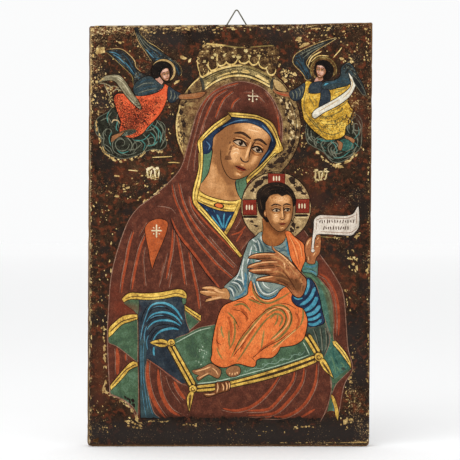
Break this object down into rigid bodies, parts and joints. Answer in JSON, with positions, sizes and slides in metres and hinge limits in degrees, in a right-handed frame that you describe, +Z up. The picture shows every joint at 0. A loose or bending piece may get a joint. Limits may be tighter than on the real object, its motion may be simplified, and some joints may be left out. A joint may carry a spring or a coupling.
{
  "type": "icon panel",
  "caption": "Upright painted wooden icon panel with incised outlines, worn gilded ground and a bent wire loop on its back for hanging on a wall.",
  "frame": {"origin": "the inside of the hanger wire's bend, on the wire's centre plane, where a wall hook carries the panel", "axes": "+X to the viewer's right, +Y from the painted front towards the wall, +Z up; the panel hangs upright"},
  "size_m": [0.2855, 0.0229, 0.4393],
  "materials": {
    "painted_wood": "tempera and worn gilding on aged wood, waxy satin",
    "steel_wire": "dull drawn wire",
    "nail_steel": "dull, slightly rusted"
  },
  "bodies": {
    "root": {"panel": "painted_wood", "hanger_wire": "steel_wire", "hanger_nail_left": "nail_steel", "hanger_nail_right": "nail_steel"}
  },
  "joints": []
}
